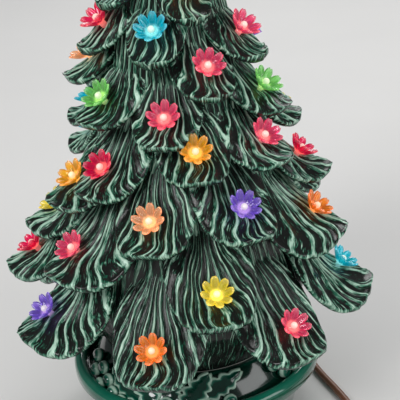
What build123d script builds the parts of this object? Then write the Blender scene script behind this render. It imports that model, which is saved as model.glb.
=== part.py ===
# A glazed ceramic christmas tree with plug-in flower lights, lit from inside by one bulb.
# Origin at the middle of the foot, +Z up, the front of the tree towards -Y.
import os
from math import atan2, cos, pi, radians, sin, sqrt, tan

from build123d import *

# Clearances and the overrun of cutting shapes
slip_gap = 0.3
running_gap = 0.06
thread_gap = 0.3
overrun = 2.0

# Ceramic base: a flared dish with a rolled rim and a mound that carries the tree
foot_r = 70.0
foot_width = 8.0
rim_r = 83.6
rim_z = 38.5
rim_roll_r = 4.5
groove_r = 76.0
groove_z = 34.5
mound_top_r = 62.0
seat_z = 56.0
base_wall = 7.0
lip_height = 6.0
lip_width = 5.0

# Holly leaves on the mound, in clusters
holly_clusters = 3
holly_azimuth = -16.0
holly_fan_shares = (-1, -0.5, 0, 0.5, 1)
holly_fan_angle = 27.0
holly_lean_angle = 62.0
leaf_length = 34.0
leaf_width = 17.0
leaf_thickness = 5.0
leaf_height_share = 0.5

# Ceramic tree: conical core with a hollow inside
core_low_r = 60.0
core_wide_r = 77.0
core_wide_z = 92.0
core_straight = 12.0
core_top_r = 9.0
core_top_z = 404.0
spire_z = 415.0
tree_wall = 5.0
cavity_top_z = 396.0

# Light seats on the branches, from the lowest ring to the highest
seat_low_r = 103.7
seat_low_z = 99.0
seat_high_r = 15.0
seat_high_z = 386.0
light_tilt = 50.0

# A branch of the lowest ring, and the size of the highest branches against it
branch_run = 70.0
branch_drop = 61.0
branch_half_width = 28.0
branch_half_thickness = 11.0
top_branch_share = 0.42
# Run, drop, half width and half thickness at the stations from the buried root to the nose
station_shares = (
    (0, 0, 0.3, 0.6),
    (0.25, 0.33, 0.55, 0.78),
    (0.46, 0.63, 0.85, 0.93),
    (0.66, 0.85, 1, 1),
    (0.88, 0.955, 0.72, 0.68),
    (1, 1, 0.25, 0.28),
)
seat_station = 3
duct_width_share = 0.4
duct_thickness_share = 0.5
duct_rise_angle = 47.0
duct_reach_share = 0.5
duct_stop = 8.0
# Lights above this height share reach into the core
core_light_share = 0.9
# Highest height share of the branches in each group
group_top_shares = {"lower": 0.22, "middle": 0.45, "upper": 0.7, "top": 1}

# Plug-in flower lights
peg_r = 2.2
peg_length = 6.5
collar_r = 3.4
collar_lift = 1.3
collar_height = 1.2
flower_r = 9.5
flower_height = 6.5
petal_thickness = 1.6
petals = 8
petal_notch_r = 1.5
flower_ball_r = 3.2
head_room_lift = 2.8

# Lights by colour: azimuth from the front, height share and extra reach share of each branch
light_shares = {
    "red": (
        (-71, 0.661, 0), (-91, 0.1, 0.09), (91, 0.295, 0), (-43, 0.368, 0),
        (155, 0.49, 0), (230, 0.152, 0), (159, 0.755, 0), (10, 0.93, 0),
    ),
    "pink": (
        (60, 0.63, 0), (21, 0.577, 0), (-8, 0.483, 0), (-55, 0.176, 0), (48, 0.405, 0),
        (36, 0, 0), (228, 0.504, 0), (195, 0.85, 0),
    ),
    "orange": (
        (-15, 0, 0), (74, 0.186, 0), (195, 0.581, 0), (231, 0.75, 0),
        (280, 0.93, 0),
    ),
    "amber": (
        (7, 0.41, 0), (-64, 0.323, 0), (190.5, 0, 0), (160, 0.651, 0), (123, 0.85, 0),
        (163, 0.117, 0),
    ),
    "peach": (
        (-16, 0.272, 0), (-92, 0.57, 0), (160, 0.309, 0), (15, 0.735, 0), (235, 1, 0),
        (118, 0.204, 0),
    ),
    "yellow": (
        (9, 0.113, 0), (-91, 0.207, 0), (139, 0, 0), (230, 0.658, 0), (51, 0.85, 0),
        (190, 0.93, 0), (112, 0.396, 0),
    ),
    "green": (
        (-51, 0.511, 0), (64, 0.5, 0), (242, 0, 0), (192, 0.42, 0), (87, 0.75, 0),
        (145, 1, 0), (339, 0.85, 0),
    ),
    "cyan": (
        (-14.5, 0.658, 0), (88, 0, 0), (232, 0.337, 0), (303, 0.76, 0), (325, 1, 0),
        (-122, 0.42, 0),
    ),
    "purple": (
        (26, 0.279, 0), (-67.5, 0, 0), (200, 0.239, 0), (122, 0.56, 0), (267, 0.85, 0),
        (100, 0.93, 0), (55, 1, 0),
    ),
}

# Star on the spire
star_points = 5
star_r = 19.0
star_inner_share = 0.45
star_half_depth = 5.0
star_crest_share = 0.25
star_stem_r = 2.2
star_stem_length = 10.0
star_collar_r = 4.0
star_collar_height = 2.0

# Lamp: threaded nipple, nuts, washers, holder and contacts
nipple_r = 4.85
nipple_bore_r = 3.2
nipple_tail = 8.0
nut_across = 15.0
nut_height = 4.0
washer_r = 10.0
washer_height = 1.0
holder_r = 12.0
holder_bore_r = 9.5
holder_floor = 5.0
holder_height = 34.0
disc_height = 4.0
shell_inner_r = 6.25
shell_wall = 0.5
shell_height = 20.0
shell_flange = 0.8
contact_r = 3.0
contact_height = 1.2

# Candle bulb with a candelabra screw cap
cap_r = 5.95
cap_wall = 0.5
cap_height = 14.0
tip_r = 2.2
tip_height = 2.0
glass_neck_r = 5.1
glass_r = 16.0
glass_wall = 0.9
glass_neck_height = 16.0
glass_height = 84.0
glass_widest_share = 0.45
glass_tip_r = 2.5
stem_r = 2.4
stem_height = 30.0
wire_r = 0.4
wire_height = 18.0
wire_spread = 6.0
filament_r = 0.3
filament_sag = 4.0

# Cord with its bushing, in-line switch, coil, tie and plug
cord_r = 2.6
bend_share = 0.45
exit_azimuth = 215.0
exit_z = 10.0
bushing_r = 4.7
bushing_out_r = 84.0
bushing_in_r = 60.0
inner_bend_r = 24.0
# Hand-laid route from the bushing to the switch and from the switch to the coil
lead_route = (
    (-61.373, 87.649, 10.0),
    (-58.2, 110.4, 6.6),
    (-40.3, 124.9, 3.4),
    (-17.4, 123.3, 3.4),
)
free_route = (
    (60.41, 117.864, 3.4),
    (78.2, 105.0, 2.8),
    (87.2, 82.7, 2.8),
    (86.2, 54.7, 2.8),
    (83.5, 25.0, 2.8),
    (103.5, -27.0, 2.8),
    (109.0, -52.0, 3.0),
    (111.0, -75.0, 3.4),
    (111.0, -94.0, 3.4),
)
coil_out_r = 38.5
coil_step = 2.9
climb_step = 4.4
coil_half_turns = 7
coil_layer = 5.8
coil_tail = 32.0
tie_width = 8.0
tie_thickness = 0.5
switch_length = 58.0
switch_width = 26.0
switch_half_height = 7.0
wheel_r = 11.0
wheel_height = 5.0
wheel_offset = 6.5
axle_r = 2.0
screw_r = 1.5
screw_head_r = 2.8
screw_head_height = 1.6
screw_floor = 2.0
screw_inset = 9.0
plug_width = 25.0
plug_length = 30.0
relief_length = 14.0
relief_r = 4.5
blade_width = 6.3
blade_thickness = 1.5
blade_length = 17.0
blade_spacing = 12.7


def around(azimuth, radius, height):
    """Point at an azimuth from the front, a radius from the axis and a height."""
    return Vector(radius * sin(radians(azimuth)), -radius * cos(radians(azimuth)), height)


def across(azimuth):
    """Level direction square to the one that points outward at an azimuth."""
    return Vector(cos(radians(azimuth)), sin(radians(azimuth)), 0)


def seat_of(share, reach):
    """Radius and height of a light seat on its branch."""
    radius = seat_low_r * (1 + reach) + share * (seat_high_r - seat_low_r)
    return radius, seat_low_z + share * (seat_high_z - seat_low_z)


def scale_of(share):
    """Size of a branch against one of the lowest ring."""
    return 1 - share * (1 - top_branch_share)


def light_plane(azimuth, share, reach):
    """Plane on a light seat, facing along the light's peg."""
    radius, height = seat_of(share, reach)
    facing = around(azimuth, cos(radians(light_tilt)), sin(radians(light_tilt)))
    return Plane(around(azimuth, radius, height), x_dir=across(azimuth), z_dir=facing)


def branch_sections(azimuth, share, reach):
    """Planes and half sizes of a branch's cross sections from root to nose."""
    radius, height = seat_of(share, reach)
    size = scale_of(share)
    seat_run, seat_drop = station_shares[seat_station][:2]
    top_line = []
    for run, drop, _, _ in station_shares:
        out = radius + (run - seat_run) * branch_run * size
        top_line.append((out, height - (drop - seat_drop) * branch_drop * size))
    sections = []
    for index, (_, _, width, thickness) in enumerate(station_shares):
        before = top_line[max(index - 1, 0)]
        after = top_line[min(index + 1, len(top_line) - 1)]
        slope = atan2(after[1] - before[1], after[0] - before[0])
        half_thickness = thickness * branch_half_thickness * size
        middle_r = top_line[index][0] + half_thickness * sin(slope)
        middle_z = top_line[index][1] - half_thickness * cos(slope)
        plane = Plane(
            around(azimuth, middle_r, middle_z),
            x_dir=across(azimuth),
            z_dir=around(azimuth, cos(slope), sin(slope)),
        )
        sections.append((plane, width * branch_half_width * size, half_thickness))
    return sections


def branch(azimuth, share, reach):
    """One drooping branch, a ruled loft from its buried root to its nose."""
    with BuildPart() as limb:
        for plane, half_width, half_thickness in branch_sections(azimuth, share, reach):
            with BuildSketch(plane):
                Ellipse(half_width, half_thickness)
        loft(ruled=True)
    return limb.part


def light_duct(azimuth, share, reach):
    """Hollow of a branch, from under its light seat to the hollow of the core."""
    plane, half_width, half_thickness = branch_sections(azimuth, share, reach)[seat_station]
    seat_r = seat_of(share, reach)[0]
    stop_r = max(seat_r * duct_reach_share - duct_stop, 0)
    rise = around(azimuth, -cos(radians(duct_rise_angle)), sin(radians(duct_rise_angle)))
    length = (seat_r - stop_r) / cos(radians(duct_rise_angle))
    with BuildPart() as duct:
        with BuildSketch(Plane(plane.origin, x_dir=across(azimuth), z_dir=rise)):
            Ellipse(half_width * duct_width_share, half_thickness * duct_thickness_share)
        extrude(amount=length)
    return duct.part


def light_room(azimuth, share, reach):
    """Peg hole of a light and the free room around its head."""
    seat = light_plane(azimuth, share, reach)
    head_top = collar_lift + collar_height + flower_height + slip_gap
    hole_depth = peg_length + slip_gap
    with BuildPart() as room:
        with Locations(seat.offset(-hole_depth)):
            Cylinder(
                peg_r + slip_gap,
                hole_depth + head_top,
                align=(Align.CENTER, Align.CENTER, Align.MIN),
            )
        with Locations(seat.offset(head_room_lift)):
            Cylinder(
                flower_r + slip_gap,
                head_top - head_room_lift,
                align=(Align.CENTER, Align.CENTER, Align.MIN),
            )
    return room.part


def meet(box, other):
    """Whether two bounding boxes have room in common."""
    return (
        box.min.X < other.max.X
        and other.min.X < box.max.X
        and box.min.Y < other.max.Y
        and other.min.Y < box.max.Y
        and box.min.Z < other.max.Z
        and other.min.Z < box.max.Z
    )


def mound_point(azimuth, share, lift):
    """Point over the mound, at a share of its height and a lift off its slope."""
    slope = atan2(groove_r - mound_top_r, seat_z - groove_z)
    out = groove_r + share * (mound_top_r - groove_r) + lift * cos(slope)
    return around(azimuth, out, groove_z + share * (seat_z - groove_z) + lift * sin(slope))


def leaf(azimuth, lean):
    """One holly leaf lying on the mound, leaning from the way up the slope."""
    facing = mound_point(azimuth, 0, 1) - mound_point(azimuth, 0, 0)
    plane = Plane(mound_point(azimuth, leaf_height_share, 0), x_dir=across(azimuth), z_dir=facing)
    tip = (leaf_length / 2, 0)
    tail = (-leaf_length / 2, 0)
    with BuildPart() as blade:
        with BuildSketch(plane.rotated((0, 0, 90 - lean))):
            with BuildLine():
                ThreePointArc(tail, (0, leaf_width / 2), tip)
                ThreePointArc(tip, (0, -leaf_width / 2), tail)
            make_face()
        extrude(amount=leaf_thickness / 2, both=True)
    return blade.part


def route_radii(points):
    """Largest tangent arcs that a cord's runs leave room for."""
    radii = []
    for before, corner, after in zip(points, points[1:], points[2:]):
        run_in = corner - before
        run_out = after - corner
        half_turn = radians(run_in.get_angle(run_out)) / 2
        radii.append(bend_share * min(run_in.length, run_out.length) / tan(half_turn))
    return radii


def cord_tube(points, radii, name):
    """Round cord along straight runs joined by tangent arcs."""
    with BuildPart() as tube:
        with BuildLine() as path:
            FilletPolyline(*points, radius=radii)
        with BuildSketch(Plane(points[0], z_dir=points[1] - points[0])):
            Circle(cord_r)
        sweep()
    length = path.wire().length
    ratio = tube.part.volume / (pi * cord_r**2 * length)
    print(name, "length", round(length, 1), "volume ratio", round(ratio, 4))
    print(name, "radii", [round(radius, 1) for radius in radii])
    return tube.part


def keep(part, name):
    """Labels a finished piece and writes its file."""
    part.label = name
    export_step(part, "parts/" + name + ".step")


os.makedirs("parts", exist_ok=True)
branches = [place for places in light_shares.values() for place in places]

# Base: revolved dish, hollow underneath, with a lip that centres the tree
rim_in = rim_r - rim_roll_r
lip_r = core_low_r - tree_wall - slip_gap
ceiling_z = seat_z - base_wall
leaf_places = []
for cluster in range(holly_clusters):
    middle = holly_azimuth + cluster * 360 / holly_clusters
    for share in holly_fan_shares:
        leaf_places.append((middle + share * holly_fan_angle, share * holly_lean_angle))
leaves = [leaf(*place) for place in leaf_places]
with BuildPart() as base:
    with BuildSketch(Plane.XZ):
        with BuildLine():
            l1 = Polyline((0, 0), (foot_r, 0), (rim_r + rim_roll_r, rim_z - rim_roll_r))
            l2 = Line(l1 @ 1, (rim_r + rim_roll_r, rim_z))
            l3 = ThreePointArc(l2 @ 1, (rim_r, rim_z + rim_roll_r), (rim_in, rim_z))
            Polyline(
                l3 @ 1,
                (rim_in, groove_z),
                (groove_r, groove_z),
                (mound_top_r, seat_z),
                (lip_r, seat_z),
                (lip_r, seat_z + lip_height),
                (lip_r - lip_width, seat_z + lip_height),
                (lip_r - lip_width, seat_z),
                (0, seat_z),
                (0, 0),
            )
        make_face()
    revolve(axis=Axis.Z)
    add(leaves)
    with BuildSketch(Plane.XZ):
        with BuildLine():
            Polyline(
                (0, -overrun),
                (foot_r - foot_width, -overrun),
                (foot_r - foot_width, 0),
                (rim_in - base_wall, groove_z - base_wall),
                (groove_r - base_wall, groove_z - base_wall),
                (mound_top_r - base_wall, ceiling_z),
                (0, ceiling_z),
                close=True,
            )
        make_face()
    revolve(axis=Axis.Z, mode=Mode.SUBTRACT)
    with Locations((0, 0, seat_z)):
        Hole(nipple_r + thread_gap)
    exit_plane = Plane(
        around(exit_azimuth, bushing_in_r - overrun, exit_z),
        z_dir=around(exit_azimuth, 1, 0),
    )
    with BuildSketch(exit_plane):
        Circle(bushing_r + slip_gap)
    extrude(amount=bushing_out_r - bushing_in_r + overrun, mode=Mode.SUBTRACT)
keep(base.part, "base")

# Tree core: a hollow cone with a passage into each branch and room for the top lights
ducts = [light_duct(*place) for place in branches]
rooms = [light_room(*place) for place in branches]
with BuildPart() as hollow:
    with BuildSketch(Plane.XZ):
        with BuildLine():
            Polyline(
                (0, seat_z - overrun),
                (core_low_r - tree_wall, seat_z - overrun),
                (core_low_r - tree_wall, seat_z),
                (core_wide_r - tree_wall, core_wide_z),
                (core_wide_r - tree_wall, core_wide_z + core_straight),
                (core_top_r - tree_wall, cavity_top_z),
                (0, cavity_top_z),
                close=True,
            )
        make_face()
    revolve(axis=Axis.Z)
with BuildPart() as core:
    with BuildSketch(Plane.XZ):
        with BuildLine():
            Polyline(
                (0, seat_z),
                (core_low_r, seat_z),
                (core_wide_r, core_wide_z),
                (core_wide_r, core_wide_z + core_straight),
                (core_top_r, core_top_z),
                (core_top_r, spire_z),
                (0, spire_z),
                close=True,
            )
        make_face()
    revolve(axis=Axis.Z)
with BuildPart() as tree_shell:
    add(core.part)
    add([hollow.part] + ducts, mode=Mode.SUBTRACT)
    for place, room in zip(branches, rooms):
        if place[1] > core_light_share:
            add(room, mode=Mode.SUBTRACT)
    with Locations((0, 0, spire_z)):
        Hole(star_stem_r + slip_gap, depth=star_stem_length + slip_gap)
keep(tree_shell.part, "tree_shell")

# Branches: each trimmed to the core, to the branches before it and to the room of the lights
limbs = [branch(*place) for place in branches]
limb_boxes = [limb.bounding_box() for limb in limbs]
room_boxes = [room.bounding_box() for room in rooms]
trimmed = []
for index, limb_box in enumerate(limb_boxes):
    cutters = [core.part, ducts[index]]
    cutters += [limbs[other] for other in range(index) if meet(limb_box, limb_boxes[other])]
    cutters += [room for room, room_box in zip(rooms, room_boxes) if meet(limb_box, room_box)]
    with BuildPart() as limb:
        add(limbs[index])
        for cutter in cutters:
            add(cutter, mode=Mode.SUBTRACT)
    trimmed.append(limb.part.solids().sort_by(SortBy.VOLUME)[-1])
low_share = -1
for group, top_share in group_top_shares.items():
    chosen = [limb for limb, place in zip(trimmed, branches) if low_share < place[1] <= top_share]
    low_share = top_share
    keep(Compound(children=chosen), "branches_" + group)

# Flower light: a peg and collar under a bowl of petals with a ball in the middle
bowl_z = collar_lift + collar_height
with BuildPart() as flower:
    with BuildSketch(Plane.XZ):
        with BuildLine():
            Polyline(
                (0, -peg_length),
                (peg_r, -peg_length),
                (peg_r, collar_lift),
                (collar_r, collar_lift),
                (collar_r, bowl_z),
                (flower_r, bowl_z + flower_height - petal_thickness),
                (flower_r, bowl_z + flower_height),
                (collar_r, bowl_z + petal_thickness),
                (0, bowl_z + petal_thickness),
                close=True,
            )
        make_face()
    revolve(axis=Axis.Z)
    with PolarLocations(flower_r, petals):
        Cylinder(
            petal_notch_r,
            2 * (bowl_z + flower_height + overrun),
            mode=Mode.SUBTRACT,
        )
    with Locations((0, 0, bowl_z + petal_thickness + flower_ball_r / 2)):
        Sphere(flower_ball_r)

for colour, places in light_shares.items():
    with BuildPart() as lights:
        with Locations(*[light_plane(*place) for place in places]):
            add(flower.part)
    keep(lights.part, "lights_" + colour)

# Star: low pyramids to the front and the back of a star outline, on a stem
star_z = spire_z + star_collar_height + star_r * cos(radians(180 / star_points))
star_outline = []
for index in range(2 * star_points):
    corner_r = star_r * (star_inner_share if index % 2 else 1)
    angle = radians(90 + index * 180 / star_points)
    star_outline.append((corner_r * cos(angle), corner_r * sin(angle)))
with BuildPart() as star:
    for facing in (1, -1):
        star_plane = Plane((0, 0, star_z), x_dir=(1, 0, 0), z_dir=(0, -facing, 0))
        with BuildSketch(star_plane):
            with BuildLine():
                Polyline(*[(x, facing * y) for x, y in star_outline], close=True)
            make_face()
        with BuildSketch(star_plane.offset(star_half_depth)):
            with BuildLine():
                crest = [(x * star_crest_share, facing * y * star_crest_share) for x, y in star_outline]
                Polyline(*crest, close=True)
            make_face()
        loft(ruled=True)
    with Locations((0, 0, spire_z)):
        Cylinder(
            star_collar_r,
            star_z - spire_z - star_r * star_crest_share,
            align=(Align.CENTER, Align.CENTER, Align.MIN),
        )
        Cylinder(star_stem_r, star_stem_length, align=(Align.CENTER, Align.CENTER, Align.MAX))
keep(star.part, "star_topper")

# Lamp fittings, stacked up from the underside of the base
holder_z = seat_z + washer_height + nut_height
nipple_top_z = holder_z + holder_floor - slip_gap
nipple_low_z = ceiling_z - washer_height - nut_height - nipple_tail
with BuildPart() as nipple:
    with Locations((0, 0, nipple_low_z)):
        Cylinder(
            nipple_r,
            nipple_top_z - nipple_low_z,
            align=(Align.CENTER, Align.CENTER, Align.MIN),
        )
    with Locations((0, 0, nipple_top_z)):
        Hole(nipple_bore_r)
keep(nipple.part, "nipple")

with BuildPart() as washers:
    for height in (ceiling_z - washer_height, seat_z):
        with BuildSketch(Plane.XY.offset(height)):
            Circle(washer_r)
            Circle(nipple_r + thread_gap, mode=Mode.SUBTRACT)
    extrude(amount=washer_height)
keep(washers.part, "washers")

with BuildPart() as locknuts:
    for height in (ceiling_z - washer_height - nut_height, seat_z + washer_height):
        with BuildSketch(Plane.XY.offset(height)):
            RegularPolygon(nut_across / 2, 6, major_radius=False)
            Circle(nipple_r + running_gap, mode=Mode.SUBTRACT)
    extrude(amount=nut_height)
keep(locknuts.part, "locknuts")

disc_z = holder_z + holder_floor
shell_z = disc_z + disc_height
with BuildPart() as lamp_holder:
    with Locations((0, 0, holder_z)):
        Cylinder(holder_r, holder_height, align=(Align.CENTER, Align.CENTER, Align.MIN))
    with Locations((0, 0, holder_z + holder_height)):
        CounterBoreHole(
            nipple_r + thread_gap,
            holder_bore_r,
            holder_height - holder_floor,
            depth=holder_height,
        )
keep(lamp_holder.part, "lamp_holder")

with BuildPart() as insulator_disc:
    with Locations((0, 0, disc_z)):
        Cylinder(
            holder_bore_r - slip_gap,
            disc_height,
            align=(Align.CENTER, Align.CENTER, Align.MIN),
        )
keep(insulator_disc.part, "insulator_disc")

shell_r = shell_inner_r + shell_wall
with BuildPart() as screw_shell:
    with BuildSketch(Plane.XZ):
        with BuildLine():
            Polyline(
                (shell_inner_r, shell_z),
                (holder_bore_r - slip_gap, shell_z),
                (holder_bore_r - slip_gap, shell_z + shell_flange),
                (shell_r, shell_z + shell_flange),
                (shell_r, shell_z + shell_height),
                (shell_inner_r, shell_z + shell_height),
                close=True,
            )
        make_face()
    revolve(axis=Axis.Z)
keep(screw_shell.part, "screw_shell")

with BuildPart() as centre_contact:
    with Locations((0, 0, shell_z)):
        Cylinder(contact_r, contact_height, align=(Align.CENTER, Align.CENTER, Align.MIN))
keep(centre_contact.part, "centre_contact")

# Bulb: solder tip, screw cap, glass candle, stem and filament
tip_z = shell_z + contact_height + slip_gap
cap_z = tip_z + tip_height
glass_z = cap_z + cap_wall
with BuildPart() as bulb_tip:
    with Locations((0, 0, tip_z)):
        Cylinder(tip_r, tip_height, align=(Align.CENTER, Align.CENTER, Align.MIN))
keep(bulb_tip.part, "bulb_tip")

with BuildPart() as bulb_cap:
    with Locations((0, 0, cap_z)):
        Cylinder(cap_r, cap_height, align=(Align.CENTER, Align.CENTER, Align.MIN))
    with Locations((0, 0, cap_z + cap_height)):
        Hole(cap_r - cap_wall, depth=cap_height - cap_wall)
keep(bulb_cap.part, "bulb_cap")


def candle(inset):
    """Revolved candle shape of the glass, drawn in by an inset."""
    low_z = glass_z + inset
    neck_z = glass_z + glass_neck_height
    wide_z = neck_z + glass_widest_share * (glass_height - glass_neck_height)
    tip_top_z = glass_z + glass_height - inset
    with BuildPart() as shape:
        with BuildSketch(Plane.XZ):
            with BuildLine():
                c1 = Polyline((0, low_z), (glass_neck_r - inset, low_z), (glass_neck_r - inset, neck_z))
                shoulder = ((glass_neck_r + glass_r) / 2 - inset, (neck_z + wide_z) / 2)
                c2 = TangentArc(c1 @ 1, shoulder, tangent=(0, 1))
                c3 = TangentArc(c2 @ 1, (glass_r - inset, wide_z), tangent=c2 % 1)
                c4 = TangentArc(c3 @ 1, (glass_tip_r, tip_top_z), tangent=(0, 1))
                Polyline(c4 @ 1, (0, tip_top_z), (0, low_z))
            make_face()
        revolve(axis=Axis.Z)
    return shape.part


glass_outside = candle(0)
glass_inside = candle(glass_wall)
with BuildPart() as bulb_glass:
    add(glass_outside)
    add(glass_inside, mode=Mode.SUBTRACT)
keep(bulb_glass.part, "bulb_glass")

stem_z = glass_z + glass_wall
with BuildPart() as bulb_stem:
    with Locations((0, 0, stem_z)):
        Cylinder(stem_r, stem_height, align=(Align.CENTER, Align.CENTER, Align.MIN))
keep(bulb_stem.part, "bulb_stem")

filament_z = stem_z + stem_height + wire_height
with BuildPart() as bulb_filament:
    for side in (1, -1):
        wire_foot = Vector(side * stem_r / 2, 0, stem_z + stem_height + wire_r)
        wire_way = Vector(side * wire_spread, 0, filament_z) - wire_foot
        with BuildSketch(Plane(wire_foot, z_dir=wire_way)):
            Circle(wire_r)
        extrude(amount=wire_way.length)
    with BuildLine():
        ThreePointArc(
            (-wire_spread, 0, filament_z),
            (0, 0, filament_z + filament_sag),
            (wire_spread, 0, filament_z),
        )
    with BuildSketch(Plane((-wire_spread, 0, filament_z), z_dir=(wire_spread, 0, 2 * filament_sag))):
        Circle(filament_r)
    sweep()
keep(bulb_filament.part, "bulb_filament")

# Bushing in the base, and the lead that runs through it to the holder
exit_way = around(exit_azimuth, 1, 0)
bushing_plane = Plane(around(exit_azimuth, bushing_in_r, exit_z), z_dir=exit_way)
with BuildPart() as cord_bushing:
    with BuildSketch(bushing_plane):
        Circle(bushing_r)
        Circle(cord_r + slip_gap, mode=Mode.SUBTRACT)
    extrude(amount=bushing_out_r - bushing_in_r)
keep(cord_bushing.part, "cord_bushing")

cord_exit = around(exit_azimuth, bushing_out_r, exit_z)
inner_points = [cord_exit, Vector(0, 0, exit_z), Vector(0, 0, disc_z)]
keep(cord_tube(inner_points, [inner_bend_r], "inner_lead"), "inner_lead")

# Free cord: from the bushing to the switch, and from the switch to the coil
lead_points = [cord_exit] + [Vector(*point) for point in lead_route]
keep(cord_tube(lead_points, route_radii(lead_points), "cord_lead"), "cord_lead")
switch_in = lead_points[-1]
switch_way = (switch_in - lead_points[-2]).normalized()
switch_out = switch_in + switch_way * switch_length
free_points = [switch_out] + [Vector(*point) for point in free_route]
keep(cord_tube(free_points, route_radii(free_points), "cord_free"), "cord_free")

# Coil: half turns that spiral in below and out above, one climbing half turn between them
coil_start = free_points[-1]
coil_way = (coil_start - free_points[-2]).normalized()
coil_side = Vector(0, 0, 1).cross(coil_way)
turn_start = coil_start + coil_way * 2 * cord_r
coil_centre = turn_start + coil_side * coil_out_r


def coil_point(half_turn, radius, height):
    """Point of the coil after a number of half turns from its start."""
    angle = pi * half_turn
    spoke = coil_way * sin(angle) - coil_side * cos(angle)
    return coil_centre + spoke * radius + Vector(0, 0, height)


spiral_radii = [coil_out_r - n * coil_step for n in range(coil_half_turns)]
inner_r = spiral_radii[-1] - climb_step
spiral_radii.append(inner_r)
turns_in = [coil_point(n, radius, 0) for n, radius in enumerate(spiral_radii)]
climb_r = sqrt(inner_r**2 + coil_layer**2 / 4)
climb = coil_point(coil_half_turns + 1 / 2, climb_r, coil_layer / 2)
turns_out = []
for n, radius in enumerate(reversed(spiral_radii)):
    turns_out.append(coil_point(coil_half_turns + 1 + n, radius, coil_layer))
coil_stops = turns_in + [climb] + turns_out
coil_end_way = coil_way * (-1) ** (2 * coil_half_turns + 1)
coil_end = coil_stops[-1] + coil_end_way * coil_tail
with BuildPart() as cord_coil:
    with BuildLine() as coil_path:
        edge = Line(coil_start, turn_start)
        for stop in coil_stops[1:]:
            edge = TangentArc(edge @ 1, stop, tangent=edge % 1)
        Line(edge @ 1, coil_end)
    with BuildSketch(Plane(coil_start, z_dir=coil_way)):
        Circle(cord_r)
    sweep()
coil_wire = coil_path.wire()
coil_length = coil_wire.length
samples = int(coil_length / cord_r)
trail = [coil_wire @ (n / samples) for n in range(samples + 1)]
apart = samples // (4 * coil_half_turns)
least = min(
    (trail[a] - trail[b]).length
    for a in range(len(trail))
    for b in range(a + apart, len(trail))
)
coil_ratio = cord_coil.part.volume / (pi * cord_r**2 * coil_length)
print("coil length", round(coil_length, 1), "volume ratio", round(coil_ratio, 4))
print("coil least gap", round(least - 2 * cord_r, 2))
keep(cord_coil.part, "cord_coil")

# Tie: a flat band round the turns at the far side of the coil
tie_low_z = coil_start.Z - cord_r - slip_gap - tie_thickness
tie_height = 2 * cord_r + coil_layer + 2 * (slip_gap + tie_thickness)
tie_in_r = inner_r - cord_r - coil_step
tie_out_r = coil_out_r + cord_r + slip_gap + tie_thickness
tie_middle = coil_centre + coil_way * (tie_in_r + tie_out_r) / 2
tie_plane = Plane(
    Vector(tie_middle.X, tie_middle.Y, tie_low_z + tie_height / 2),
    x_dir=coil_way,
    z_dir=coil_side,
)
with BuildPart() as coil_tie:
    with BuildSketch(tie_plane):
        Rectangle(tie_out_r - tie_in_r, tie_height)
        Rectangle(
            tie_out_r - tie_in_r - 2 * tie_thickness,
            tie_height - 2 * tie_thickness,
            mode=Mode.SUBTRACT,
        )
    extrude(amount=tie_width / 2, both=True)
keep(coil_tie.part, "coil_tie")

# Plug: moulded body with a tapered relief, and two flat blades
plug_plane = Plane(coil_end, x_dir=coil_side, z_dir=coil_end_way)
plug_half_height = coil_end.Z
with BuildPart() as plug_body:
    with BuildSketch(plug_plane):
        Circle(relief_r)
    with BuildSketch(plug_plane.offset(relief_length)):
        Circle(2 * relief_r - cord_r)
    loft()
    with BuildSketch(plug_plane.offset(relief_length)):
        RectangleRounded(plug_width, 2 * plug_half_height, relief_r)
    extrude(amount=plug_length)
keep(plug_body.part, "plug_body")

with BuildPart() as plug_blades:
    with BuildSketch(plug_plane.offset(relief_length + plug_length)):
        with GridLocations(blade_spacing, 0, 2, 1):
            Rectangle(blade_thickness, blade_width)
    extrude(amount=blade_length)
keep(plug_blades.part, "plug_blades")

# Switch: two half shells, a thumb wheel on an axle between them and one screw
switch_middle = switch_in + switch_way * switch_length / 2
switch_plane = Plane((switch_middle.X, switch_middle.Y, 0), x_dir=switch_way, z_dir=(0, 0, 1))
wheel_plane = switch_plane.offset(switch_half_height)
wheel_spot = (0, wheel_offset)
screw_spot = (switch_length / 2 - screw_inset, 0)
pocket_r = wheel_r + slip_gap
pocket_half = wheel_height / 2 + slip_gap
axle_half = switch_half_height - screw_head_height


def switch_half(plane):
    """One half shell with its pocket for the wheel, rising from a plane."""
    with BuildPart() as half:
        with BuildSketch(plane):
            RectangleRounded(switch_length, switch_width, switch_half_height)
        extrude(amount=switch_half_height)
    return half.part


switch_low = switch_half(switch_plane)
switch_high = switch_half(wheel_plane)
with BuildPart() as switch_base:
    add(switch_low)
    with BuildSketch(wheel_plane):
        with Locations(wheel_spot):
            Circle(pocket_r)
    extrude(amount=-pocket_half, mode=Mode.SUBTRACT)
    with BuildSketch(wheel_plane):
        with Locations(wheel_spot):
            Circle(axle_r)
    extrude(amount=pocket_half, both=True)
    with BuildSketch(wheel_plane):
        with Locations(screw_spot):
            Circle(screw_r + running_gap)
    extrude(amount=-axle_half, mode=Mode.SUBTRACT)
keep(switch_base.part, "switch_base")

with BuildPart() as switch_cover:
    add(switch_high)
    with BuildSketch(wheel_plane):
        with Locations(wheel_spot):
            Circle(pocket_r)
    extrude(amount=pocket_half, mode=Mode.SUBTRACT)
    with BuildSketch(wheel_plane):
        with Locations(screw_spot):
            Circle(screw_r + slip_gap)
    extrude(amount=switch_half_height, mode=Mode.SUBTRACT)
    with BuildSketch(wheel_plane.offset(axle_half)):
        with Locations(screw_spot):
            Circle(screw_head_r + slip_gap)
    extrude(amount=screw_head_height, mode=Mode.SUBTRACT)
keep(switch_cover.part, "switch_cover")

with BuildPart() as switch_wheel:
    with BuildSketch(wheel_plane):
        with Locations(wheel_spot):
            Circle(wheel_r)
            Circle(axle_r + running_gap, mode=Mode.SUBTRACT)
    extrude(amount=wheel_height / 2, both=True)
keep(switch_wheel.part, "switch_wheel")

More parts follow.
